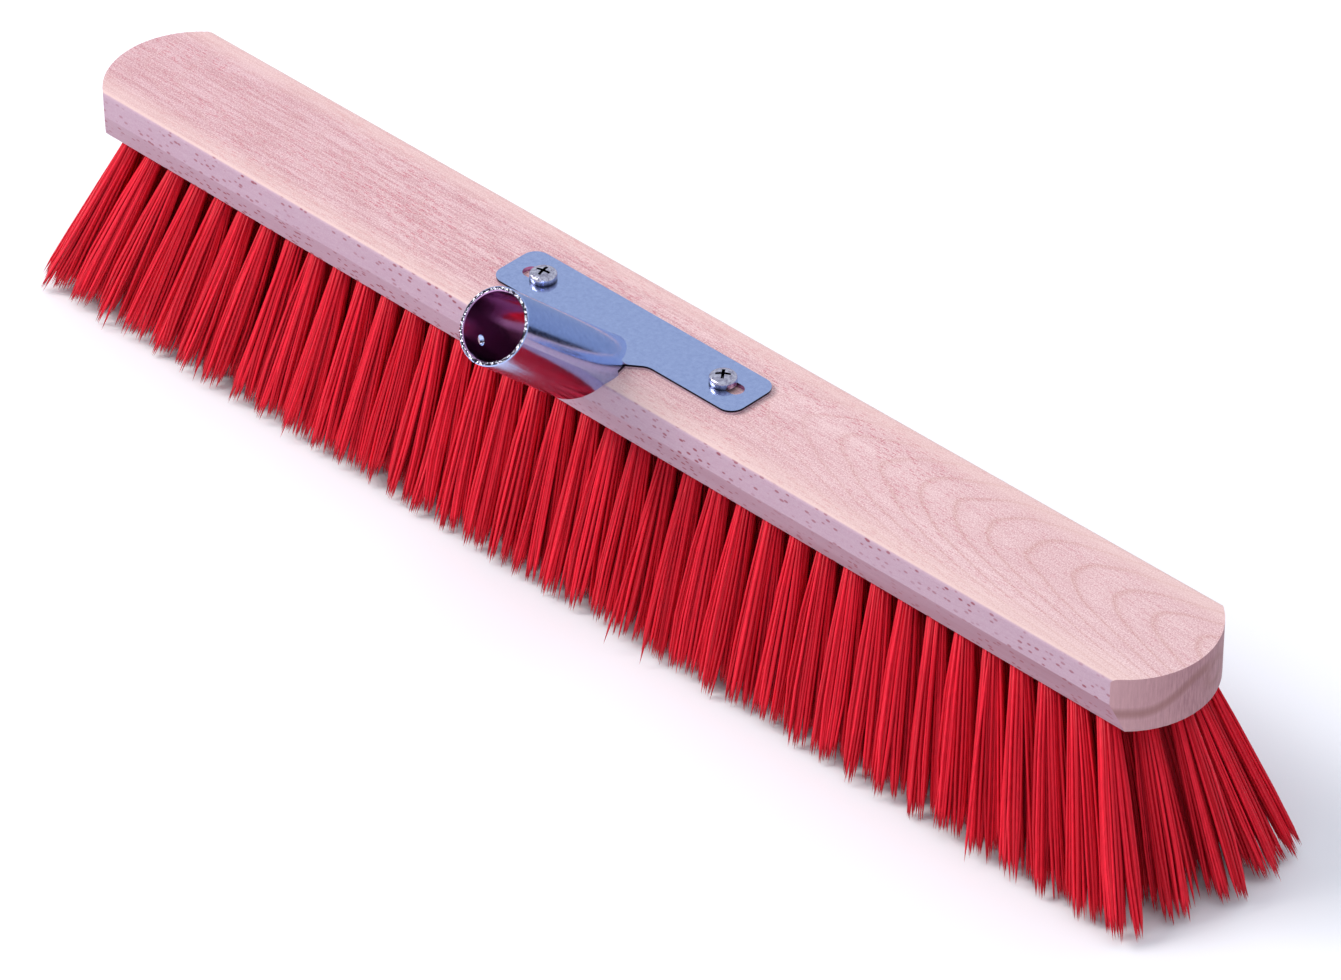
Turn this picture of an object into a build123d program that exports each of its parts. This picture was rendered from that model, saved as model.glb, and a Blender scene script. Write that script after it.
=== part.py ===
"""Push broom head: a beech block, a pressed-steel handle socket on two screws, and staggered bristle tufts.

Frame: millimetres, +Z up. X runs along the block and -Y is the side where the stick comes out of the socket.
The origin is the point on the floor under the block's centre, so the bristle tips lie in the plane Z = 0.
"""

from build123d import *
from math import asin, cos, radians, sin
import os

# Wooden block
BLOCK_LENGTH = 600.0
BLOCK_WIDTH = 64.0
BLOCK_THICKNESS = 25.0
END_SAGITTA = 16.5
BEVEL_HEIGHT = 12.6
BEVEL_INSET = 4.0
TOP_EDGE_RADIUS = 2.0

# Bristle field
BRISTLE_HEIGHT = 80.0
TUFT_PITCH = 14.5
ROW_PITCH = 11.75
MIDDLE_ROW_TUFTS = 41
TUFT_ROOT_RADIUS = 4.1
TUFT_TIP_RADIUS = 7.0
SIDE_SPLAY = 22.5
END_SPLAY = 27.0
COLLAR_LENGTH = 2.0
HOLE_DEPTH = 15.0
HOLE_CLEARANCE = 0.05

# Wire anchors in the bottoms of the tuft holes
ANCHOR_LENGTH = 7.6
ANCHOR_WIDTH = 2.4
ANCHOR_THICKNESS = 0.7
ANCHOR_GAP = 0.1
FOLD_THICKNESS = 1.2

# Handle socket
SHEET = 2.0
PLATE_LENGTH = 137.0
PLATE_WIDTH = 26.6
PLATE_CORNER = 6.5
GUSSET_HALF_WIDTH = 22.0
GUSSET_WAIST = 8.0
GUSSET_DEPTH = 10.0
GUSSET_RADIUS = 8.0
TUBE_BORE_RADIUS = 14.25
TUBE_RADIUS = TUBE_BORE_RADIUS + SHEET
TUBE_ANGLE = 42.5
SEAT_DEPTH = 45.0
THROAT_RADIUS = 13.4
MOUTH_REACH = 76.2
MOUTH_HEIGHT = 43.6
TRIM_START = 32.5
TRIM_SLOPE = 0.45
SEAM_WIDTH = 0.5
BLEND_RADIUS = 3.5
MOUTH_CHAMFER = 0.4
FIXING_HOLE_RADIUS = 2.25
FIXING_HOLE_INSET = 13.0
FIXING_HOLE_ANGLE = -145.0

# Screws
SCREW_X = 3.5 * TUFT_PITCH
SLOT_HALF_WIDTH = 3.6
SLOT_REACH = 10.6
HEAD_RADIUS = 5.8
HEAD_HEIGHT = 4.3
HEAD_RIM = 2.9
HEAD_EDGE_RADIUS = 1.3
THREAD_RADIUS = 2.2
CORE_RADIUS = 1.6
THREAD_PITCH = 1.6
THREAD_TURNS = 7
SCREW_TIP = 3.0
BARE_SHANK = 0.4
RECESS_LENGTH = 6.2
RECESS_WIDTH = 1.3
RECESS_DEPTH = 2.2
PILOT_CLEARANCE = 0.05
RECESS_TURN = {"screw_left": 12.0, "screw_right": 38.0}

SLOT_LENGTH = SLOT_REACH + SLOT_HALF_WIDTH
SLOT_OFFSET = (SLOT_REACH - SLOT_HALF_WIDTH) / 2
UNDERSIDE = BRISTLE_HEIGHT
TOP = BRISTLE_HEIGHT + BLOCK_THICKNESS
PLATE_TOP = TOP + SHEET
HALF_WIDTH = BLOCK_WIDTH / 2
CORNER_X = BLOCK_LENGTH / 2 - END_SAGITTA
OUTER_ROW_Y = 2 * ROW_PITCH
FIELD_HALF_LENGTH = TUFT_PITCH * (MIDDLE_ROW_TUFTS - 1) / 2

TUBE_OUT = Vector(0, -cos(radians(TUBE_ANGLE)), sin(radians(TUBE_ANGLE)))
TUBE_UP = Vector(0, sin(radians(TUBE_ANGLE)), cos(radians(TUBE_ANGLE)))
MOUTH = Vector(0, -MOUTH_REACH, TOP + MOUTH_HEIGHT)


class Tuft:
    """The root, tip and drilling line of one tuft. Its tip leans out towards the nearer side and end."""

    def __init__(self, x, y):
        reach = x / (FIELD_HALF_LENGTH - abs(y) / ROW_PITCH * TUFT_PITCH / 2)
        lean_x = END_SPLAY * reach * abs(reach)
        lean_y = SIDE_SPLAY * y / OUTER_ROW_Y
        self.root = Vector(x, y, UNDERSIDE)
        self.tip = Vector(x + lean_x, y + lean_y, 0)
        self.inward = (self.root - self.tip).normalized()
        self.across = Vector(0, 1, 0).cross(self.inward).normalized()
        self.hole_bottom = self.root + self.inward * HOLE_DEPTH

    def plane_at(self, point):
        """A plane across the tuft, with its X axis pointing along the block."""
        return Plane(origin=point, x_dir=self.across, z_dir=self.inward)


def tuft_ranks():
    """The tufts by rank: each holds its middle and outer tufts and the staggered ones beside them."""
    half = (MIDDLE_ROW_TUFTS - 1) // 2
    ranks = {}
    for j in range(-half, half + 1):
        x = j * TUFT_PITCH
        spots = [(x, 0)]
        if abs(j) < half:
            spots += [(x, -OUTER_ROW_Y), (x, OUTER_ROW_Y)]
        if j != 0:
            staggered_x = x - TUFT_PITCH / 2 if j > 0 else x + TUFT_PITCH / 2
            spots += [(staggered_x, -ROW_PITCH), (staggered_x, ROW_PITCH)]
        side = "left" if j < 0 else "right"
        name = "tufts_middle" if j == 0 else f"tufts_{side}_{abs(j):02d}"
        ranks[name] = [Tuft(*spot) for spot in spots]
    return ranks


def make_block(tufts):
    """The beech block with bevelled lower edges, arc ends, drilled tuft holes and two screw holes."""
    with BuildPart() as block:
        with BuildSketch(Plane.YZ.offset(-BLOCK_LENGTH / 2)) as section:
            with BuildLine():
                Polyline(
                    (-HALF_WIDTH + BEVEL_INSET, UNDERSIDE),
                    (-HALF_WIDTH, UNDERSIDE + BEVEL_HEIGHT),
                    (-HALF_WIDTH, TOP),
                    (HALF_WIDTH, TOP),
                    (HALF_WIDTH, UNDERSIDE + BEVEL_HEIGHT),
                    (HALF_WIDTH - BEVEL_INSET, UNDERSIDE),
                    close=True,
                )
            make_face()
            fillet(section.vertices().group_by(Axis.Y)[-1], radius=TOP_EDGE_RADIUS)
        extrude(amount=BLOCK_LENGTH)
        with BuildSketch(Plane.XY.offset(UNDERSIDE)):
            with BuildLine():
                Line((-CORNER_X, HALF_WIDTH), (CORNER_X, HALF_WIDTH))
                ThreePointArc((CORNER_X, HALF_WIDTH), (BLOCK_LENGTH / 2, 0), (CORNER_X, -HALF_WIDTH))
                Line((CORNER_X, -HALF_WIDTH), (-CORNER_X, -HALF_WIDTH))
                ThreePointArc((-CORNER_X, -HALF_WIDTH), (-BLOCK_LENGTH / 2, 0), (-CORNER_X, HALF_WIDTH))
            make_face()
        extrude(amount=BLOCK_THICKNESS, mode=Mode.INTERSECT)
        with BuildSketch(*[tuft.plane_at(tuft.hole_bottom) for tuft in tufts]):
            Circle(TUFT_ROOT_RADIUS + HOLE_CLEARANCE)
        extrude(amount=-HOLE_DEPTH - 2 * TUFT_ROOT_RADIUS, mode=Mode.SUBTRACT)
        with Locations((-SCREW_X, 0, 0), (SCREW_X, 0, 0)):
            add(pilot_hole(), mode=Mode.SUBTRACT)
    block.part.label = "block"
    return block.part


def shaft_points(grow):
    """Half the outline of a screw's shaft from its point up to the plate's top, with its radii grown."""
    core = CORE_RADIUS + grow
    crest = THREAD_RADIUS + grow
    thread_end = TOP - BARE_SHANK - THREAD_TURNS * THREAD_PITCH
    points = [(0, thread_end - SCREW_TIP - grow)]
    for turn in range(THREAD_TURNS):
        z = thread_end + turn * THREAD_PITCH
        points += [(core, z), (crest, z + THREAD_PITCH / 2)]
    points += [(core, TOP - BARE_SHANK), (core, PLATE_TOP)]
    return points


def pilot_hole():
    """What a screw's shaft takes out of the block, with running clearance."""
    with BuildPart(mode=Mode.PRIVATE) as hole:
        with BuildSketch(Plane.XZ):
            with BuildLine():
                Polyline(*shaft_points(PILOT_CLEARANCE), (0, PLATE_TOP), close=True)
            make_face()
        revolve(axis=Axis.Z)
    return hole.part


def make_screw(name, x):
    """A pan-head screw: a domed head with a cross recess, and a threaded shaft with a point."""
    rim_top = PLATE_TOP + HEAD_RIM
    head_top = PLATE_TOP + HEAD_HEIGHT
    dome = HEAD_HEIGHT - HEAD_RIM
    dome_radius = (HEAD_RADIUS**2 + dome**2) / (2 * dome)
    half_arc = asin(HEAD_RADIUS / dome_radius) / 2
    crown = (dome_radius * sin(half_arc), head_top - dome_radius * (1 - cos(half_arc)))
    with BuildPart() as screw:
        with BuildSketch(Plane.XZ):
            with BuildLine():
                Polyline(*shaft_points(0), (HEAD_RADIUS, PLATE_TOP), (HEAD_RADIUS, rim_top))
                ThreePointArc((HEAD_RADIUS, rim_top), crown, (0, head_top))
                Line((0, head_top), shaft_points(0)[0])
            make_face()
        revolve(axis=Axis.Z)
        circles = screw.edges().filter_by(GeomType.CIRCLE)
        rims = circles.filter_by(lambda e: abs(e.radius - HEAD_RADIUS) < 0.01)
        fillet(rims.sort_by(Axis.Z)[-1], radius=HEAD_EDGE_RADIUS)
        with BuildSketch(Plane.XY.offset(head_top)):
            Rectangle(RECESS_LENGTH, RECESS_WIDTH, rotation=RECESS_TURN[name])
            Rectangle(RECESS_LENGTH, RECESS_WIDTH, rotation=RECESS_TURN[name] + 90)
        extrude(amount=-RECESS_DEPTH, mode=Mode.SUBTRACT)
    return Pos(x, 0, 0) * screw.part


def make_socket():
    """The socket: a slotted plate on the block and the angled tube that rises out of it, in one sheet.

    The stick's seat is an even bore. Below it the hollow narrows a little and runs out through the plate.
    """
    half_plate = PLATE_WIDTH / 2
    tube_length = (MOUTH_HEIGHT + TUBE_RADIUS * 2) / sin(radians(TUBE_ANGLE))
    with BuildPart() as socket:
        with BuildSketch(Plane.XY.offset(TOP)) as outline:
            Rectangle(PLATE_LENGTH, PLATE_WIDTH)
            fillet(outline.vertices(), radius=PLATE_CORNER)
            with BuildLine():
                Polyline(
                    (-GUSSET_HALF_WIDTH, -half_plate),
                    (-GUSSET_WAIST, -half_plate - GUSSET_DEPTH),
                    (GUSSET_WAIST, -half_plate - GUSSET_DEPTH),
                    (GUSSET_HALF_WIDTH, -half_plate),
                    close=True,
                )
            make_face()
            notches = outline.vertices().filter_by(lambda v: abs(abs(v.X) - GUSSET_HALF_WIDTH) < 0.01)
            fillet(notches, radius=GUSSET_RADIUS)
        extrude(amount=SHEET)
        with BuildSketch(Plane(origin=MOUTH, x_dir=(1, 0, 0), z_dir=-TUBE_OUT)):
            Circle(TUBE_RADIUS)
        extrude(amount=tube_length)
        with BuildSketch(Plane.YZ.offset(-TUBE_RADIUS - 1)):
            with BuildLine():
                Polyline(
                    (2 * HALF_WIDTH, TOP),
                    (-TRIM_START, TOP),
                    (-MOUTH_REACH, TOP - (MOUTH_REACH - TRIM_START) * TRIM_SLOPE),
                    (-MOUTH_REACH, 0),
                    (2 * HALF_WIDTH, 0),
                    close=True,
                )
            make_face()
        extrude(amount=2 * TUBE_RADIUS + 2, mode=Mode.SUBTRACT)
        fillet(landing_edges(socket), radius=BLEND_RADIUS)
        with BuildSketch(Plane(origin=MOUTH, x_dir=(1, 0, 0), z_dir=TUBE_UP)):
            with BuildLine():
                Polyline(
                    (0, 0),
                    (TUBE_BORE_RADIUS, 0),
                    (TUBE_BORE_RADIUS, SEAT_DEPTH),
                    (THROAT_RADIUS, tube_length),
                    (0, tube_length),
                    close=True,
                )
            make_face()
        revolve(axis=Axis(MOUTH, TUBE_OUT), mode=Mode.SUBTRACT)
        with BuildSketch(Plane(origin=MOUTH, x_dir=(1, 0, 0), z_dir=-TUBE_OUT)):
            with Locations((0, TUBE_RADIUS - SHEET / 2)):
                Rectangle(SEAM_WIDTH, 2 * SHEET)
        extrude(amount=tube_length * 0.85, mode=Mode.SUBTRACT)
        with BuildSketch(fixing_plane()):
            Circle(FIXING_HOLE_RADIUS)
        extrude(amount=2 * SHEET, both=True, mode=Mode.SUBTRACT)
        with BuildSketch(Plane.XY.offset(TOP)):
            with Locations((-SCREW_X - SLOT_OFFSET, 0), (SCREW_X + SLOT_OFFSET, 0)):
                SlotOverall(SLOT_LENGTH, 2 * SLOT_HALF_WIDTH)
        extrude(amount=SHEET, mode=Mode.SUBTRACT)
        mouth = socket.edges().filter_by(lambda e: (e.position_at(0.5) - MOUTH).dot(TUBE_OUT) > -0.01)
        chamfer(mouth.filter_by(GeomType.CIRCLE), length=MOUTH_CHAMFER)
    socket.part.label = "handle_socket"
    return socket.part


def landing_edges(socket):
    """The curve where the tube's outside lands on the plate's top face."""
    curves = socket.edges().filter_by(GeomType.ELLIPSE)
    return curves.filter_by(lambda e: all(abs(e.position_at(t).Z - PLATE_TOP) < 0.01 for t in (0, 0.5, 1)))


def fixing_plane():
    """The plane of the fixing hole, in the middle of the tube's wall, facing out."""
    turn = radians(FIXING_HOLE_ANGLE)
    outward = Vector(1, 0, 0) * cos(turn) + TUBE_UP * sin(turn)
    centre = MOUTH - TUBE_OUT * FIXING_HOLE_INSET + outward * (TUBE_RADIUS - SHEET / 2)
    return Plane(origin=centre, z_dir=outward)


def make_tuft(tuft):
    """One tuft: a round root in its hole, then a bundle that widens evenly until the floor trims it."""
    fold = tuft.hole_bottom - tuft.inward * ANCHOR_GAP
    root_length = (fold - tuft.root).length
    free_length = (tuft.tip - tuft.root).length
    flare = (TUFT_TIP_RADIUS - TUFT_ROOT_RADIUS) / (free_length - COLLAR_LENGTH)
    past_floor = free_length + TUFT_TIP_RADIUS
    end_radius = TUFT_ROOT_RADIUS + flare * (past_floor - COLLAR_LENGTH)
    half_outline = Plane(origin=tuft.root, x_dir=tuft.across, z_dir=tuft.across.cross(tuft.inward))
    with BuildPart(mode=Mode.PRIVATE) as bundle:
        with BuildSketch(half_outline):
            with BuildLine():
                Polyline(
                    (0, root_length),
                    (TUFT_ROOT_RADIUS, root_length),
                    (TUFT_ROOT_RADIUS, -COLLAR_LENGTH),
                    (end_radius, -past_floor),
                    (0, -past_floor),
                    close=True,
                )
            make_face()
        revolve(axis=Axis(tuft.root, tuft.inward))
        split(bisect_by=Plane.XY, keep=Keep.TOP)
        with BuildSketch(tuft.plane_at(fold - tuft.inward * FOLD_THICKNESS)):
            Rectangle(2 * TUFT_ROOT_RADIUS + 1, ANCHOR_THICKNESS + 2 * ANCHOR_GAP)
        extrude(amount=-ANCHOR_WIDTH - 2 * ANCHOR_GAP, mode=Mode.SUBTRACT)
    return bundle.part


def make_anchor(tuft):
    """The flat wire that lies across a tuft's fold."""
    top = tuft.hole_bottom - tuft.inward * (2 * ANCHOR_GAP + FOLD_THICKNESS)
    with BuildPart(mode=Mode.PRIVATE) as wire:
        with BuildSketch(tuft.plane_at(top)):
            Rectangle(ANCHOR_LENGTH, ANCHOR_THICKNESS)
        extrude(amount=-ANCHOR_WIDTH)
    return wire.part


def write(part, name):
    part.label = name
    export_step(part, f"parts/{name}.step")


def group(solids):
    """Separate solids in one node."""
    return Compound(children=list(solids))


def main():
    os.makedirs("parts", exist_ok=True)
    ranks = tuft_ranks()
    tufts = [tuft for rank in ranks.values() for tuft in rank]
    write(make_block(tufts), "block")
    write(make_socket(), "handle_socket")
    write(make_screw("screw_left", -SCREW_X), "screw_left")
    write(make_screw("screw_right", SCREW_X), "screw_right")
    for name, rank in ranks.items():
        write(group(make_tuft(tuft) for tuft in rank), name)
    row_names = ["front_outer", "front_inner", "middle", "rear_inner", "rear_outer"]
    for row, row_name in enumerate(row_names, start=-2):
        in_row = [tuft for tuft in tufts if abs(tuft.root.Y - row * ROW_PITCH) < 0.01]
        write(group(make_anchor(tuft) for tuft in in_row), f"anchors_{row_name}")


main()
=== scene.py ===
"""Push broom head: filament bristles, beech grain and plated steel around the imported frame.

Lengths are metres. X runs along the block, -Y is the side where the stick leaves the socket, and the
bristle tips stand on Z = 0.
"""

import bpy
import math
import numpy as np
from mathutils import Matrix, Vector


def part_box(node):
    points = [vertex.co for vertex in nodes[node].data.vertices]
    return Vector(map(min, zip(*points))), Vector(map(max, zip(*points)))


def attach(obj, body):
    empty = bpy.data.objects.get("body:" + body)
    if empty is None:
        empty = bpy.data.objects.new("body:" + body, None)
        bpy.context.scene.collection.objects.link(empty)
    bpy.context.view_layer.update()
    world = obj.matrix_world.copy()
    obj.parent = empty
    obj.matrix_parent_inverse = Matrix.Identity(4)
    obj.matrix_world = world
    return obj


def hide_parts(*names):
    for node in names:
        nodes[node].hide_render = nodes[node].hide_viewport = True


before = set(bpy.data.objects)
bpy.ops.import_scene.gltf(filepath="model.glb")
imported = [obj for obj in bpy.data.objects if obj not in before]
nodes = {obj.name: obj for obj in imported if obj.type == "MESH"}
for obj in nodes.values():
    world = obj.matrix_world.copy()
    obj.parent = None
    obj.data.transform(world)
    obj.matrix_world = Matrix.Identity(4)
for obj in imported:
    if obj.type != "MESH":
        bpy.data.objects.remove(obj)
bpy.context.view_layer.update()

MM = 0.001

# The block and the bristle field, as the frame has them
BLOCK_LOW, BLOCK_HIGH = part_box("block")
UNDERSIDE = BLOCK_LOW.z
SHEET = 2.0 * MM
PLATE_TOP = BLOCK_HIGH.z + SHEET
TUBE_ANGLE = math.radians(42.5)
TUBE_OUT = (0, -math.cos(TUBE_ANGLE), math.sin(TUBE_ANGLE))
MOUTH = (0, -76.2 * MM, BLOCK_HIGH.z + 43.6 * MM)
TUFT_PITCH = 14.5 * MM
ROW_PITCH = 11.75 * MM
HALF_RANKS = 20
SIDE_SPLAY = 22.5 * MM
END_SPLAY = 31.0 * MM
CORNER_SPLAY = 13 * MM
FIELD_HALF_LENGTH = HALF_RANKS * TUFT_PITCH

# Filaments
FILAMENTS = 78
FILAMENT_RADIUS = 0.59 * MM
FILAMENT_SIDES = 5
ROOT_RADIUS = 3.6 * MM
TIP_RADIUS = 8.7 * MM
HIDDEN_ROOT = 3.0 * MM
LOCKS = 10
LOCK_PULL = 0.52
GATHER_FROM = 0.55
STATIONS = (0.0, 0.36, 0.70, 0.90, 1.0)
STRAY_SHARE = 0.05
LOCK_RAGGEDNESS = 1.8 * MM
TIP_RAGGEDNESS = 1.6 * MM
SEED = 7

# Camera
VIEW_AZIMUTH = 44.86
VIEW_ELEVATION = 37.43
VIEW_ROLL = -0.59
VIEW_DISTANCE = 2.6016
AIM_RIGHT = 0.01534
AIM_UP = -0.06271
LENS = 174.16
SENSOR = 36.0


# ---------------------------------------------------------------- node helpers

def new_material(name):
    """A node material with its tree and its shader."""
    material = bpy.data.materials.new(name)
    material.use_nodes = True
    tree = material.node_tree
    tree.nodes.clear()
    output = tree.nodes.new("ShaderNodeOutputMaterial")
    shader = tree.nodes.new("ShaderNodeBsdfPrincipled")
    tree.links.new(shader.outputs[0], output.inputs[0])
    return material, tree, shader


def add_node(tree, kind, inputs=None, **settings):
    """A node of a kind. An input that is a socket is linked, and any other is a value."""
    node = tree.nodes.new("ShaderNode" + kind)
    for key, value in settings.items():
        setattr(node, key, value)
    for key, value in (inputs or {}).items():
        if isinstance(value, bpy.types.NodeSocket):
            tree.links.new(value, node.inputs[key])
        else:
            node.inputs[key].default_value = value
    return node


def math_node(tree, operation, a, b=0.0):
    return add_node(tree, "Math", {0: a, 1: b}, operation=operation).outputs[0]


def multiply(tree, *factors):
    """The product of sockets and numbers."""
    product = factors[0]
    for factor in factors[1:]:
        product = math_node(tree, "MULTIPLY", product, factor)
    return product


def hypotenuse(tree, a, b):
    """The distance that two offsets at right angles make."""
    squares = math_node(tree, "ADD", multiply(tree, a, a), multiply(tree, b, b))
    return math_node(tree, "SQRT", squares)


def map_range(tree, value, low, high, to_low=0.0, to_high=1.0, interpolation="LINEAR"):
    """A value carried from one range to another and held at its ends. A range may run downwards."""
    inputs = {"Value": value, "From Min": low, "From Max": high, "To Min": to_low, "To Max": to_high}
    return add_node(tree, "MapRange", inputs, interpolation_type=interpolation).outputs[0]


def vector_node(tree, operation, a, b):
    return add_node(tree, "VectorMath", {0: a, 1: b}, operation=operation).outputs[0]


def dot_product(tree, a, b):
    return add_node(tree, "VectorMath", {0: a, 1: b}, operation="DOT_PRODUCT").outputs["Value"]


def ramp(tree, factor, stops, interpolation="LINEAR"):
    """A colour ramp with (position, grey or colour) stops."""
    node = add_node(tree, "ValToRGB", {0: factor})
    node.color_ramp.interpolation = interpolation
    elements = node.color_ramp.elements
    while len(elements) > 1:
        elements.remove(elements[-1])
    for i, (position, value) in enumerate(stops):
        element = elements[0] if i == 0 else elements.new(position)
        element.position = position
        colour = (value,) * 3 if isinstance(value, (int, float)) else value
        element.color = (*colour, 1)
    return node.outputs[0]


def mix_colour(tree, factor, a, b):
    node = add_node(tree, "Mix", data_type="RGBA")
    for index, value in ((0, factor), (6, a), (7, b)):
        if isinstance(value, bpy.types.NodeSocket):
            tree.links.new(value, node.inputs[index])
        else:
            node.inputs[index].default_value = value if index == 0 else (*value, 1)
    return node.outputs[2]


def object_position(tree):
    return add_node(tree, "TexCoord").outputs["Object"]


def split(tree, vector):
    return add_node(tree, "SeparateXYZ", {0: vector}).outputs


def surface_normal(tree):
    return add_node(tree, "NewGeometry").outputs["Normal"]


def scaled_position(tree, scale, offset=(0, 0, 0)):
    """The object coordinates, moved and then scaled by a factor for each axis."""
    moved = vector_node(tree, "ADD", object_position(tree), offset)
    return vector_node(tree, "MULTIPLY", moved, scale)


def noise(tree, scale, offset=(0, 0, 0), detail=3.0, roughness=0.5):
    """Noise with its own number of waves to the metre along each axis."""
    vector = scaled_position(tree, scale, offset)
    inputs = {"Vector": vector, "Scale": 1.0, "Detail": detail, "Roughness": roughness, "Distortion": 0.0}
    return add_node(tree, "TexNoise", inputs).outputs["Fac"]


def cell_distance(tree, scale, offset=(0, 0, 0)):
    """The distance to the nearest of many scattered points."""
    inputs = {"Vector": scaled_position(tree, scale, offset), "Scale": 1.0}
    return add_node(tree, "TexVoronoi", inputs).outputs["Distance"]


def bump(tree, height, strength, distance):
    return add_node(tree, "Bump", {"Height": height, "Strength": strength, "Distance": distance}).outputs[0]


# ---------------------------------------------------------------- wood

WOOD_LIGHT = (0.720, 0.500, 0.500)
WOOD_MID = (0.640, 0.400, 0.410)
WOOD_DARK = (0.470, 0.225, 0.250)
WOOD_LEFT = (0.540, 0.310, 0.355)
WOOD_RING = (0.500, 0.255, 0.230)
WOOD_FLECK = (0.470, 0.110, 0.150)
WOOD_SPECK = (0.900, 0.700, 0.680)
# Painted highlights for the rounded edges and the top beside them
ARRIS_HIGHLIGHT = (0.640, 0.440, 0.420)
CREAM_HIGHLIGHT = (0.760, 0.550, 0.500)
# Painted shade for the long sides and for the bevel under them
SIDE_SHADE = (0.430, 0.280, 0.390)
BEVEL_SHADE = (0.360, 0.185, 0.230)
WOOD_PORE = (0.300, 0.080, 0.110)
END_LIGHT = (0.480, 0.245, 0.265)
END_DARK = (0.300, 0.135, 0.160)
# Painted light for the end grain beside a long side
END_PAINTED_LIGHT = (0.640, 0.365, 0.385)
END_BAND = (0.250, 0.100, 0.085)
RING_SPACING = 2.3 * MM
PITH_Y = 9.0 * MM
PITH_Z = 30.0 * MM
PITH_SLOPE = 0.115
EYE_Y = 12.0 * MM
EYE_HEIGHT = 12.5 * MM


def growth_rings(tree, x, y, z):
    """Nested arcs on the top face: rings about a pith that comes nearer towards +X."""
    wobble = noise(tree, (9, 30, 30), detail=2)
    wobble = math_node(tree, "MULTIPLY", math_node(tree, "SUBTRACT", wobble, 0.5), 4.0 * MM)
    across = math_node(tree, "SUBTRACT", y, PITH_Y)
    tilt = math_node(tree, "MULTIPLY", x, PITH_SLOPE)
    depth = math_node(tree, "SUBTRACT", math_node(tree, "ADD", z, -PITH_Z), tilt)
    radius = math_node(tree, "ADD", hypotenuse(tree, across, depth), wobble)
    phase = math_node(tree, "FRACT", math_node(tree, "MULTIPLY", radius, 1 / RING_SPACING))
    line = ramp(tree, phase, [(0, 0.8), (0.04, 1.0), (0.13, 0.15), (0.5, 0.0), (0.88, 0.12), (1, 0.8)])
    return multiply(tree, line, map_range(tree, x, 0.04, 0.17, 0.25, 1.0))


def end_grain(tree, x, y, z):
    """Fine upright rays, painted light that pales each end towards one long side, and one brown band that
    rises to an eye.
    """
    rays = noise(tree, (120, 1500, 130), detail=3, roughness=0.7)
    tone = mix_colour(tree, ramp(tree, rays, [(0.35, 0.0), (0.7, 1.0)]), END_LIGHT, END_DARK)
    # Painted light: each end face grows paler towards one long side
    lit_near_side = map_range(tree, multiply(tree, y, math_node(tree, "SIGN", x)), -4 * MM, -32 * MM)
    tone = mix_colour(tree, multiply(tree, lit_near_side, 0.70), tone, END_PAINTED_LIGHT)

    height = math_node(tree, "SUBTRACT", z, BLOCK_LOW.z)
    band_height = map_range(tree, y, -24 * MM, 2 * MM, 8.5 * MM, 18.5 * MM, "SMOOTHSTEP")
    to_band = math_node(tree, "ABSOLUTE", math_node(tree, "SUBTRACT", height, band_height))
    band = ramp(tree, multiply(tree, to_band, 200), [(0.0, 1.0), (0.25, 0.8), (0.65, 0.0)])
    band = multiply(tree, band, map_range(tree, y, 11 * MM, 4 * MM))

    eye_across = multiply(tree, math_node(tree, "SUBTRACT", y, EYE_Y), 0.8)
    eye_up = math_node(tree, "SUBTRACT", height, EYE_HEIGHT)
    ragged = multiply(tree, math_node(tree, "SUBTRACT", rays, 0.5), 1.5 * MM)
    to_eye = math_node(tree, "ADD", hypotenuse(tree, eye_across, eye_up), ragged)
    eye = ramp(tree, multiply(tree, to_eye, 100), [(0.25, 0.0), (0.50, 0.6), (0.62, 0.4), (0.85, 0.0)])
    band = math_node(tree, "MAXIMUM", band, eye)
    return mix_colour(tree, multiply(tree, band, 0.60), tone, END_BAND)


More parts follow.
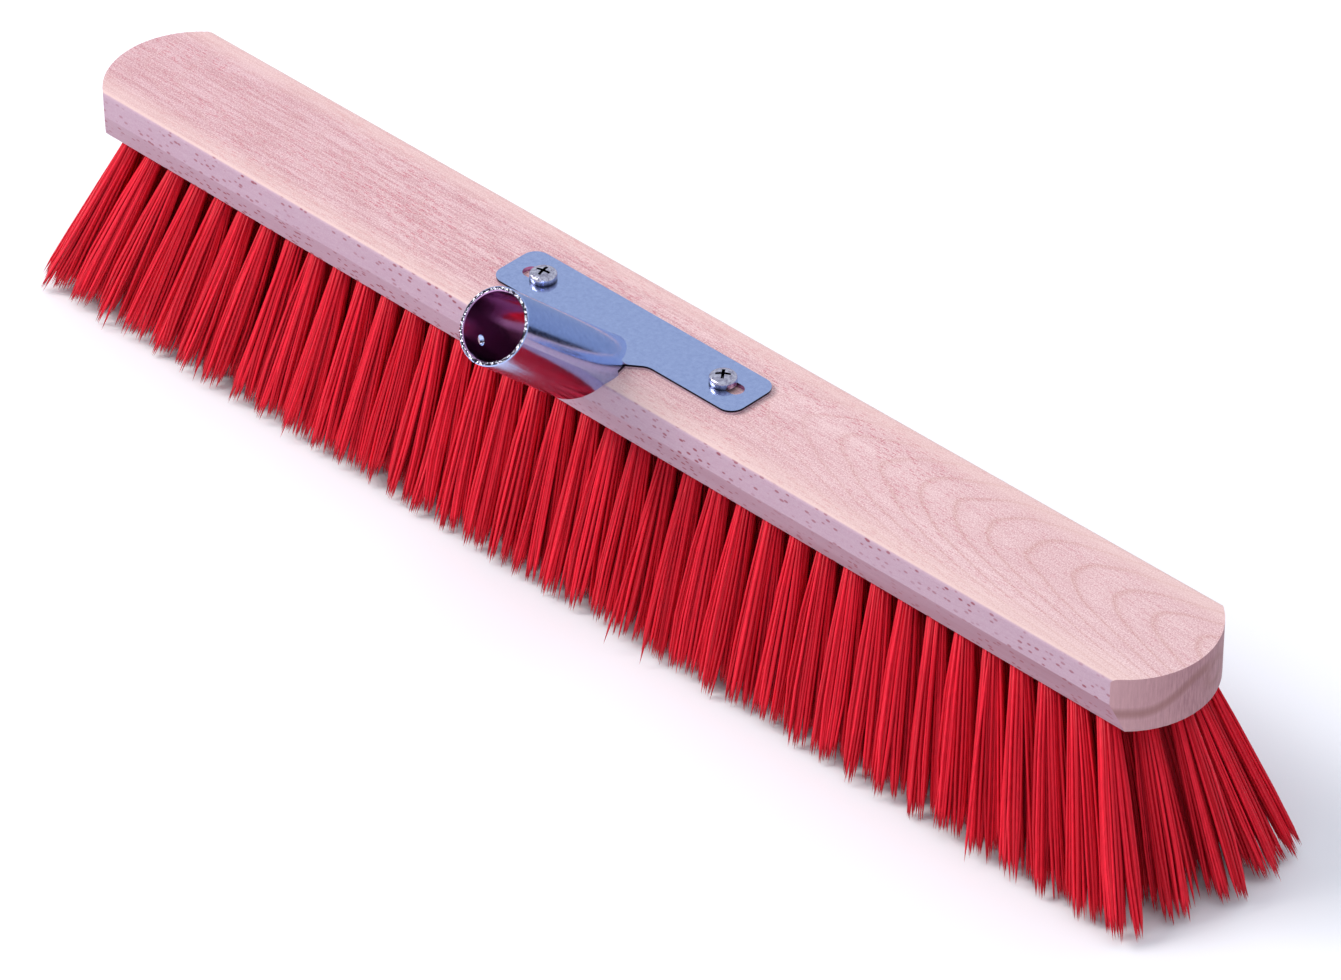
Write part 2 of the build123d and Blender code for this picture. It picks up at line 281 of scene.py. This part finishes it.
def beech_material():
    """Beech: streaks and growth rings, short flecks, pores on the long sides, and fine end grain."""
    material, tree, shader = new_material("beech")
    x, y, z = split(tree, object_position(tree))
    normal_x, normal_y, normal_z = split(tree, surface_normal(tree))
    facing_side = math_node(tree, "ABSOLUTE", normal_y)

    # Broad tone along the grain, a browner left half, streaks that fade to the right, and rings
    broad = noise(tree, (5, 60, 60), (0.3, 0, 0), detail=3, roughness=0.6)
    tone = mix_colour(tree, ramp(tree, broad, [(0.35, 0.0), (0.65, 1.0)]), WOOD_LIGHT, WOOD_MID)
    left_half = map_range(tree, x, 0.02, -0.22)
    tone = mix_colour(tree, multiply(tree, left_half, 0.62), tone, WOOD_LEFT)
    streaks = noise(tree, (30, 620, 620), detail=5, roughness=0.75)
    streak_mask = ramp(tree, streaks, [(0.44, 0.0), (0.58, 1.0)])
    streak_gain = map_range(tree, x, -0.05, 0.14, 1.0, 0.30)
    tone = mix_colour(tree, multiply(tree, streak_mask, streak_gain), tone, WOOD_DARK)
    tone = mix_colour(tree, multiply(tree, growth_rings(tree, x, y, z), 0.70), tone, WOOD_RING)

    # Short flecks along the grain in patches, fewer at the right end, and a fine speckle
    flecks = ramp(tree, cell_distance(tree, (190, 1150, 1150)), [(0.22, 1.0), (0.38, 0.0)])
    flecks = multiply(tree, flecks, map_range(tree, x, 0.12, 0.24, 1.0, 0.35))
    patches = ramp(tree, noise(tree, (14, 60, 60), (0.1, 0.2, 0), detail=2), [(0.40, 0.35), (0.60, 1.0)])
    tone = mix_colour(tree, multiply(tree, flecks, patches), tone, WOOD_FLECK)
    speckle = noise(tree, (1400, 2200, 2200), detail=2)
    tone = mix_colour(tree, ramp(tree, speckle, [(0.45, 0.0), (0.70, 0.65)]), tone, WOOD_SPECK)
    tone = mix_colour(tree, ramp(tree, speckle, [(0.28, 0.60), (0.50, 0.0)]), tone, WOOD_DARK)

    # Painted highlights: paler rounded edges, with a creamy painted highlight on the strip of the top beside
    # them
    rounded_highlight = ramp(tree, facing_side, [(0.06, 0.0), (0.3, 0.75), (0.7, 0.75), (0.9, 0.0)])
    tone = mix_colour(tree, rounded_highlight, tone, ARRIS_HIGHLIGHT)
    top_edge_highlight = map_range(tree, math_node(tree, "ABSOLUTE", y), 19 * MM, 27 * MM)
    tone = mix_colour(tree, multiply(tree, top_edge_highlight, 0.45), tone, CREAM_HIGHLIGHT)

    # The long sides: a cooler, darker tone as painted shade, browner painted shade on the bevel that faces
    # down, and dark pores
    side = ramp(tree, facing_side, [(0.6, 0.0), (0.85, 1.0)])
    tone = mix_colour(tree, multiply(tree, side, 0.75), tone, SIDE_SHADE)
    under = ramp(tree, multiply(tree, normal_z, -1.0), [(0.12, 0.0), (0.22, 1.0)])
    brown = ramp(tree, noise(tree, (9, 150, 150), (0.4, 0, 0), detail=3), [(0.3, 0.40), (0.7, 0.95)])
    brown = multiply(tree, brown, map_range(tree, x, 0.04, 0.131, 0.30, 1.0))
    # Painted shade: browner on the bevel that faces down
    tone = mix_colour(tree, multiply(tree, under, side, brown), tone, BEVEL_SHADE)
    pores = ramp(tree, cell_distance(tree, (210, 420, 420), (0.07, 0, 0)), [(0.20, 1.0), (0.30, 0.0)])
    tone = mix_colour(tree, multiply(tree, pores, side, patches), tone, WOOD_PORE)

    end = ramp(tree, math_node(tree, "ABSOLUTE", normal_x), [(0.35, 0.0), (0.6, 1.0)])
    tone = mix_colour(tree, end, tone, end_grain(tree, x, y, z))
    tree.links.new(tone, shader.inputs["Base Color"])
    tree.links.new(ramp(tree, streaks, [(0.3, 0.52), (0.8, 0.68)]), shader.inputs["Roughness"])
    relief = math_node(tree, "SUBTRACT", streaks, multiply(tree, flecks, 0.5))
    tree.links.new(bump(tree, relief, 0.25, 0.2 * MM), shader.inputs["Normal"])
    shader.inputs["Specular IOR Level"].default_value = 0.35
    return material


# ---------------------------------------------------------------- metal

WIRE_DARK = (0.4300, 0.4300, 0.4472)
WIRE_LIGHT = (0.500, 0.500, 0.520)
PLATING_DEEP = (0.395, 0.490, 0.810)
PLATING_PALE = (0.510, 0.615, 0.950)
# Painted reflections on the plate's cut edges
EDGE_BRIGHT_REFLECTION = (0.620, 0.580, 0.660)
EDGE_DARK_REFLECTION = (0.015, 0.015, 0.030)
BURR_DARK = (0.005, 0.005, 0.010)
BURR_MID = (0.200, 0.180, 0.260)
BURR_PALE = (0.900, 0.900, 1.000)
# Painted reflection inside the bore
BORE_REFLECTION = (0.560, 0.300, 0.560)
SCREW_DULL = (0.360, 0.330, 0.440)
SCREW_BRIGHT = (0.800, 0.780, 0.900)
SCREW_SHADE = (0.010, 0.008, 0.018)
PRESSED_LINE_Y = 7.8 * MM
DENT = (0, -6.2 * MM, PLATE_TOP)


def wire_material():
    """Bare steel wire with a faint mottle and fine scratches."""
    material, tree, shader = new_material("anchor_wire")
    mottle = noise(tree, (160, 160, 160), detail=4, roughness=0.6)
    tone = mix_colour(tree, ramp(tree, mottle, [(0.35, 0.0), (0.65, 1.0)]), WIRE_DARK, WIRE_LIGHT)
    tree.links.new(tone, shader.inputs["Base Color"])
    scratches = noise(tree, (300, 300, 300), detail=3, roughness=0.7)
    tree.links.new(ramp(tree, scratches, [(0.35, 0.2625), (0.7, 0.4725)]), shader.inputs["Roughness"])
    tree.links.new(bump(tree, scratches, 0.06, 0.1 * MM), shader.inputs["Normal"])
    shader.inputs["Metallic"].default_value = 1.0
    return material


def edge_reflection(tree, y, z, normal):
    """The mask and tone of the plate's cut edges: a painted dark reflection under the upper arris and a
    painted bright reflection below.
    """
    upwards = math_node(tree, "ABSOLUTE", dot_product(tree, normal, (0, 0, 1)))
    upright = ramp(tree, upwards, [(0.45, 1.0), (0.6, 0.0)])
    low = map_range(tree, z, PLATE_TOP + 0.2 * MM, PLATE_TOP)
    off_tube = map_range(tree, y, -24.0 * MM, -23.6 * MM)
    height = map_range(tree, z, PLATE_TOP - SHEET, PLATE_TOP)
    tone = ramp(tree, height, [(0.42, EDGE_BRIGHT_REFLECTION), (0.58, EDGE_DARK_REFLECTION)])
    return multiply(tree, upright, low, off_tube), tone


def bore_wall_mask(tree, place, normal):
    """1 where the surface faces the tube's axis from the wall of the bore, and 0 elsewhere."""
    from_mouth = vector_node(tree, "SUBTRACT", place, MOUTH)
    inputs = {0: TUBE_OUT, "Scale": dot_product(tree, from_mouth, TUBE_OUT)}
    along = add_node(tree, "VectorMath", inputs, operation="SCALE").outputs[0]
    outwards = dot_product(tree, vector_node(tree, "SUBTRACT", from_mouth, along), normal)
    return ramp(tree, multiply(tree, outwards, -100.0), [(0.9, 0.0), (1.1, 1.0)])


def pressed_relief(tree, place, x, y):
    """A faint pressed line along the plate, and a dent where the tube's roof lands on it."""
    from_line = math_node(tree, "ABSOLUTE", math_node(tree, "SUBTRACT", y, PRESSED_LINE_Y))
    line = ramp(tree, multiply(tree, from_line, 1000), [(0.0, 1.0), (0.45, 0.0)])
    along = multiply(tree, math_node(tree, "ADD", x, 60 * MM), 10)
    line = multiply(tree, line, ramp(tree, along, [(0.0, 0.0), (0.2, 1.0), (0.5, 1.0), (0.6, 0.0)]))
    to_dent = vector_node(tree, "MULTIPLY", vector_node(tree, "SUBTRACT", place, DENT), (0.45, 1.6, 1))
    far = add_node(tree, "VectorMath", {0: to_dent}, operation="LENGTH").outputs["Value"]
    dent = ramp(tree, multiply(tree, far, 250), [(0.0, 1.0), (0.5, 0.5), (1.0, 0.0)], "EASE")
    return math_node(tree, "ADD", multiply(tree, line, 0.25), multiply(tree, dent, -0.55))


def socket_material():
    """The plated sheet: mottled blue plating, painted dark and bright reflections on the sheared edges, a sawn
    mouth and a painted purplish reflection inside the bore.
    """
    material, tree, shader = new_material("plated_steel")
    place = object_position(tree)
    x, y, z = split(tree, place)
    normal = surface_normal(tree)
    mottle = noise(tree, (420, 420, 420), detail=5, roughness=0.75)
    tone = mix_colour(tree, ramp(tree, mottle, [(0.3, 0.0), (0.7, 1.0)]), PLATING_DEEP, PLATING_PALE)
    # Painted reflections on the cut edges: dark under the upper arris and bright below
    edge, edge_reflection_tone = edge_reflection(tree, y, z, normal)
    tone = mix_colour(tree, edge, tone, edge_reflection_tone)

    # The sawn mouth: specks of bright burr on dark steel
    sawn = ramp(tree, dot_product(tree, normal, TUBE_OUT), [(0.94, 0.0), (0.98, 1.0)])
    specks = noise(tree, (900, 900, 900), detail=3, roughness=0.8)
    burr = ramp(tree, specks, [(0.47, BURR_DARK), (0.53, BURR_MID), (0.60, BURR_PALE)])
    tone = mix_colour(tree, sawn, tone, burr)
    # Painted reflection: a purplish tone on the bore's inner wall
    tone = mix_colour(tree, bore_wall_mask(tree, place, normal), tone, BORE_REFLECTION)
    tree.links.new(tone, shader.inputs["Base Color"])

    scratches = noise(tree, (60, 900, 900), detail=3, roughness=0.7)
    tree.links.new(ramp(tree, scratches, [(0.35, 0.10), (0.7, 0.22)]), shader.inputs["Roughness"])
    relief = math_node(tree, "ADD", pressed_relief(tree, place, x, y), multiply(tree, mottle, 0.05))
    relief = math_node(tree, "ADD", relief, multiply(tree, specks, sawn, 1.5))
    tree.links.new(bump(tree, relief, 0.6, 0.6 * MM), shader.inputs["Normal"])
    shader.inputs["Metallic"].default_value = 1.0
    return material


def screw_material():
    """Bright plated screw heads with painted shade in their recesses."""
    material, tree, shader = new_material("screw_steel")
    grain = noise(tree, (700, 700, 700), detail=3, roughness=0.7)
    # Painted shade: an occlusion mask darkens the recesses
    shade = add_node(tree, "AmbientOcclusion", {"Distance": 3 * MM}, samples=8, inside=False).outputs["AO"]
    dull_and_bright = mix_colour(tree, ramp(tree, grain, [(0.35, 0.0), (0.65, 1.0)]), SCREW_DULL, SCREW_BRIGHT)
    tone = mix_colour(tree, ramp(tree, shade, [(0.55, 1.0), (0.95, 0.0)]), dull_and_bright, SCREW_SHADE)
    tree.links.new(tone, shader.inputs["Base Color"])
    tree.links.new(ramp(tree, grain, [(0.3, 0.06), (0.7, 0.18)]), shader.inputs["Roughness"])
    tree.links.new(bump(tree, grain, 0.5, 0.4 * MM), shader.inputs["Normal"])
    shader.inputs["Metallic"].default_value = 1.0
    return material


# ---------------------------------------------------------------- bristles

RED_DEEP = (0.560, 0.006, 0.020)
RED_MID = (0.740, 0.009, 0.028)
RED_BRIGHT = (0.900, 0.016, 0.042)
RED_STREAK = (0.480, 0.004, 0.018)


def bristle_material():
    """Red plastic filament: each one has its own tone, with faint streaks along it."""
    material, tree, shader = new_material("bristle_red")
    own = add_node(tree, "NewGeometry").outputs["Random Per Island"]
    streaks = noise(tree, (700, 700, 40), detail=2)
    tone = ramp(tree, own, [(0.0, RED_DEEP), (0.5, RED_MID), (1.0, RED_BRIGHT)])
    tone = mix_colour(tree, ramp(tree, streaks, [(0.4, 0.0), (0.7, 0.35)]), tone, RED_STREAK)
    tree.links.new(tone, shader.inputs["Base Color"])
    tree.links.new(ramp(tree, streaks, [(0.3, 0.40), (0.7, 0.52)]), shader.inputs["Roughness"])
    shader.inputs["Specular IOR Level"].default_value = 0.20
    return material


def rank_tufts(rank):
    """The (x, y) roots of one rank's tufts: middle and outer rows, then the staggered rows beside them."""
    x = rank * TUFT_PITCH
    rows = [(x, 0)]
    if abs(rank) < HALF_RANKS:
        rows += [(x, -2 * ROW_PITCH), (x, 2 * ROW_PITCH)]
    if rank:
        beside = x - math.copysign(TUFT_PITCH / 2, rank)
        rows += [(beside, -ROW_PITCH), (beside, ROW_PITCH)]
    return rows


def tuft_tip(x, y):
    """Where a tuft's middle meets the floor: it leans to the nearer side and end.

    Towards the rear corners it leans less sideways and more endwise.
    """
    reach = x / (FIELD_HALF_LENGTH - abs(y) / ROW_PITCH * TUFT_PITCH / 2)
    corner = reach ** 8 * max(y, 0) / (2 * ROW_PITCH)
    lean_x = (END_SPLAY + CORNER_SPLAY * corner) * reach * abs(reach)
    lean_y = (SIDE_SPLAY - CORNER_SPLAY * corner) * y / (2 * ROW_PITCH)
    return np.array([x + lean_x, y + lean_y, 0.0])


def filament_lines(x, y, rng):
    """Points along every filament of one tuft: an array of filaments, stations and coordinates."""
    golden = math.pi * (3 - math.sqrt(5))
    index = np.arange(FILAMENTS)
    distance = np.sqrt((index + 0.5) / FILAMENTS)
    spread = np.stack([distance * np.cos(index * golden), distance * np.sin(index * golden)], 1)
    spread += rng.normal(0, 0.05, spread.shape)
    root = np.array([x, y, UNDERSIDE])
    tip = tuft_tip(x, y)
    axis = (root - tip) / np.linalg.norm(root - tip)

    lock_turn = rng.uniform(0, 2 * math.pi)
    angles = lock_turn + np.arange(LOCKS) * 2 * math.pi / LOCKS + rng.normal(0, 0.25, LOCKS)
    centres = np.stack([np.cos(angles), np.sin(angles)], 1) * rng.uniform(0.45, 0.9, (LOCKS, 1))
    nearest = np.argmin(np.linalg.norm(spread[:, None] - centres[None], axis=2), axis=1)
    even = spread + rng.normal(0, 0.06, spread.shape)
    stray = rng.random(FILAMENTS) < STRAY_SHARE
    even[stray] += rng.normal(0, 0.30, (int(stray.sum()), 2))
    to_lock = (centres[nearest] - even) * LOCK_PULL + rng.normal(0, 0.04, even.shape)
    to_lock[stray] = 0

    top = root + axis * HIDDEN_ROOT + np.pad(spread * ROOT_RADIUS, ((0, 0), (0, 1)))
    end = tip + np.pad(even * TIP_RADIUS, ((0, 0), (0, 1)))
    lock_height = np.abs(rng.normal(0, LOCK_RAGGEDNESS, LOCKS))
    end[:, 2] += lock_height[nearest] + np.abs(rng.normal(0, TIP_RAGGEDNESS, FILAMENTS))
    bow = rng.normal(0, 0.7 * MM, (LOCKS, 2))[nearest] + rng.normal(0, 0.25 * MM, (FILAMENTS, 2))

    stations = np.array(STATIONS)
    lines = top[:, None] * (1 - stations[None, :, None]) + end[:, None] * stations[None, :, None]
    sag = np.sin(stations * math.pi * 0.9)
    lines[:, :, :2] += bow[:, None] * sag[None, :, None]
    gather = np.clip((stations - GATHER_FROM) / (1 - GATHER_FROM), 0, 1) ** 1.4
    lines[:, :, :2] += (to_lock * TIP_RADIUS)[:, None] * gather[None, :, None]
    return lines


def filament_mesh(name, lines, rng):
    """Tapered five-sided filaments with chisel-cut points along the given lines."""
    count, stations = lines.shape[:2]
    rings = stations - 1
    sides = FILAMENT_SIDES
    direction = lines[:, -1] - lines[:, 0]
    direction /= np.linalg.norm(direction, axis=1, keepdims=True)
    side = np.cross(direction, np.array([1.0, 0, 0]))
    side /= np.linalg.norm(side, axis=1, keepdims=True)
    other = np.cross(direction, side)
    turn = rng.uniform(0, 2 * math.pi, (count, 1)) + np.arange(sides)[None] * 2 * math.pi / sides
    radius = FILAMENT_RADIUS * rng.uniform(0.85, 1.12, (count, 1, 1, 1))
    taper = np.array([1.0, 1.0, 1.0, 0.92])[None, :, None, None]
    circle = side[:, None] * np.cos(turn)[:, :, None] + other[:, None] * np.sin(turn)[:, :, None]
    ring_points = lines[:, :rings, None] + circle[:, None] * radius * taper
    points = np.concatenate([ring_points.reshape(count, rings * sides, 3), lines[:, -1:]], axis=1)

    one = []
    for ring in range(rings - 1):
        for s in range(sides):
            a = ring * sides + s
            b = ring * sides + (s + 1) % sides
            one.append((a, b, b + sides, a + sides))
    last = (rings - 1) * sides
    caps = [(last + s, last + (s + 1) % sides, rings * sides) for s in range(sides)]
    top = tuple(range(sides))[::-1]
    stride = rings * sides + 1
    faces = []
    for f in range(count):
        base = f * stride
        for face in one + caps + [top]:
            faces.append(tuple(base + v for v in face))
    mesh = bpy.data.meshes.new(name)
    mesh.from_pydata(points.reshape(-1, 3).tolist(), [], faces)
    mesh.polygons.foreach_set("use_smooth", [True] * len(mesh.polygons))
    mesh.update()
    return mesh


def rank_name(rank):
    if rank == 0:
        return "tufts_middle"
    return f"tufts_{'left' if rank < 0 else 'right'}_{abs(rank):02d}"


def make_bristles(material):
    """One piece of filaments for each rank of tufts."""
    rng = np.random.default_rng(SEED)
    for rank in range(-HALF_RANKS, HALF_RANKS + 1):
        node = rank_name(rank)
        lines = np.concatenate([filament_lines(x, y, rng) for x, y in rank_tufts(rank)])
        lines[:, :, 2] = np.maximum(lines[:, :, 2], 0.0002)
        mesh = filament_mesh(node.replace("tufts", "bristles"), lines, rng)
        mesh.materials.append(material)
        piece = bpy.data.objects.new(mesh.name, mesh)
        bpy.context.scene.collection.objects.link(piece)
        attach(piece, "head")
        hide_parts(node)


# ---------------------------------------------------------------- studio

SKY = (0.84, 0.90, 1.00)
SKY_STRENGTH = 0.72
KEY_COLOUR = (1.00, 0.97, 0.95)
TOP_COLOUR = (1.00, 0.98, 1.00)
FLOOR_DULL = (0.86, 0.87, 0.90)
FLOOR_PALE = (0.90, 0.91, 0.93)
FLOOR_HALF = 14.0
# Painted shadow that only the metal mirrors
SHADOW_CARD_BLACK = (0.01, 0.01, 0.02)
CARD_BLUE = (0.33, 0.40, 0.56)


def view_axes():
    """The camera's right, up and backward directions."""
    a, e, r = (math.radians(v) for v in (VIEW_AZIMUTH, VIEW_ELEVATION, VIEW_ROLL))
    back = Vector((math.sin(a) * math.cos(e), -math.cos(a) * math.cos(e), math.sin(e)))
    right = Vector((math.cos(a), math.sin(a), 0))
    up = back.cross(right)
    return (right * math.cos(r) + up * math.sin(r), up * math.cos(r) - right * math.sin(r), back)


def make_camera():
    right, up, back = view_axes()
    top_centre = Vector((0, 0, BLOCK_HIGH.z))
    place = top_centre + right * AIM_RIGHT + up * AIM_UP + back * VIEW_DISTANCE
    data = bpy.data.cameras.new("camera")
    data.lens = LENS
    data.sensor_width = SENSOR
    data.sensor_fit = "HORIZONTAL"
    data.clip_end = 50
    camera = bpy.data.objects.new("camera", data)
    camera.matrix_world = Matrix((right, up, back)).transposed().to_4x4()
    camera.location = place
    bpy.context.scene.collection.objects.link(camera)
    bpy.context.scene.camera = camera


def area_light(name, place, aim, size, power, colour):
    data = bpy.data.lights.new(name, "AREA")
    data.shape = "RECTANGLE"
    data.size, data.size_y = size
    data.energy = power
    data.color = colour
    light = bpy.data.objects.new(name, data)
    light.location = place
    light.rotation_euler = (Vector(aim) - Vector(place)).to_track_quat("-Z", "Y").to_euler()
    bpy.context.scene.collection.objects.link(light)
    return light


def level_sheet(name, low, high, height, material):
    """A staged level rectangle between two (x, y) corners."""
    outline = [(low[0], low[1]), (high[0], low[1]), (high[0], high[1]), (low[0], high[1])]
    mesh = bpy.data.meshes.new(name)
    mesh.from_pydata([(x, y, height) for x, y in outline], [], [(0, 1, 2, 3)])
    mesh.materials.append(material)
    sheet = bpy.data.objects.new(name, mesh)
    bpy.context.scene.collection.objects.link(sheet)
    return sheet


def make_floor():
    """Pale paint a little below the bristle tips."""
    material, tree, shader = new_material("floor_paint")
    soft = noise(tree, (3, 3, 3), detail=2)
    tree.links.new(mix_colour(tree, soft, FLOOR_DULL, FLOOR_PALE), shader.inputs["Base Color"])
    shader.inputs["Roughness"].default_value = 0.9
    level_sheet("floor", (-FLOOR_HALF, -FLOOR_HALF), (FLOOR_HALF, FLOOR_HALF), -0.3 * MM, material)


def make_card(name, low, high, tone):
    """A glowing card just over the floor behind the broom that only mirrored rays see."""
    material = bpy.data.materials.new(name)
    material.use_nodes = True
    tree = material.node_tree
    tree.nodes.clear()
    glow = tree.nodes.new("ShaderNodeEmission")
    glow.inputs["Color"].default_value = (*tone, 1)
    output = tree.nodes.new("ShaderNodeOutputMaterial")
    tree.links.new(glow.outputs[0], output.inputs[0])
    card = level_sheet(name, low, high, 1.0 * MM, material)
    for flag in ("visible_camera", "visible_diffuse", "visible_shadow", "visible_transmission"):
        setattr(card, flag, False)


def make_studio():
    """A bluish sky dome, a soft key from the front left, a weaker fill from above, and cards for the metal: a
    black one as a painted shadow behind the block, and glowing blue ones.
    """
    world = bpy.data.worlds.new("studio")
    bpy.context.scene.world = world
    world.use_nodes = True
    background = world.node_tree.nodes["Background"]
    background.inputs["Color"].default_value = (*SKY, 1)
    background.inputs["Strength"].default_value = SKY_STRENGTH
    area_light("key", (-1.8, -1.5, 2.5), (0, 0, 0.05), (1.5, 1.5), 82, KEY_COLOUR)
    top = area_light("top", (0.3, 0.4, 3.2), (0, 0, 0), (2.2, 2.2), 22, TOP_COLOUR)
    top.visible_glossy = False
    bpy.context.scene.view_settings.view_transform = "Standard"
    make_floor()
    # A black card as a painted shadow on the floor behind the block, seen only in the metal's reflections
    make_card("shadow_card", (0.05, 0.24), (1.1, 0.50), SHADOW_CARD_BLACK)
    make_card("grey_card", (-2.5, 0.50), (2.5, 4.0), CARD_BLUE)
    make_card("near_card", (-2.5, 0.07), (0.05, 0.50), CARD_BLUE)


def assign(node, material):
    """Gives a CAD node its material in every slot."""
    slots = nodes[node].data.materials
    slots.clear()
    slots.append(material)


def main():
    assign("block", beech_material())
    assign("handle_socket", socket_material())
    screws = screw_material()
    assign("screw_left", screws)
    assign("screw_right", screws)
    wire = wire_material()
    for node in nodes:
        if node.startswith("anchors_"):
            assign(node, wire)
    make_bristles(bristle_material())
    make_studio()
    make_camera()


main()
